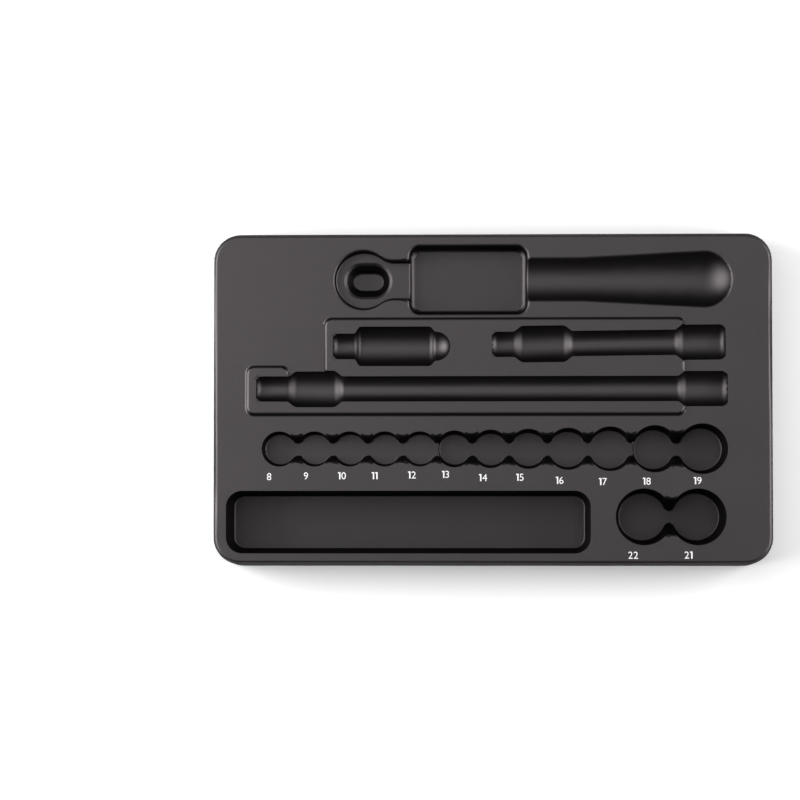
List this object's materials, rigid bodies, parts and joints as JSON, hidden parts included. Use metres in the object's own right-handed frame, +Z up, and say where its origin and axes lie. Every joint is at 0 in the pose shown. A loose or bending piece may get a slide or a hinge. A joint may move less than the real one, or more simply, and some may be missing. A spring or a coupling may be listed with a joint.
{
  "type": "tool tray",
  "caption": "Shallow drawer tray formed from black plastic sheet, with shaped recesses for a ratchet, extension bars, a universal joint and sockets, and an open compartment.",
  "frame": {"origin": "middle of the foot, at the level that rests on the drawer", "axes": "+X along the tray's length, +Y to the ratchet's side at the back, +Z up out of the hollows"},
  "size_m": [0.311, 0.185, 0.033],
  "materials": {
    "black_plastic": "black satin plastic with a fine haircell grain",
    "white_ink": "thin white printed ink"
  },
  "bodies": {
    "root": {"rim_skirt": "black_plastic", "ratchet_recess": "black_plastic", "bar_land": "black_plastic", "socket_wells": "black_plastic", "parts_compartment": "black_plastic"}
  },
  "joints": []
}
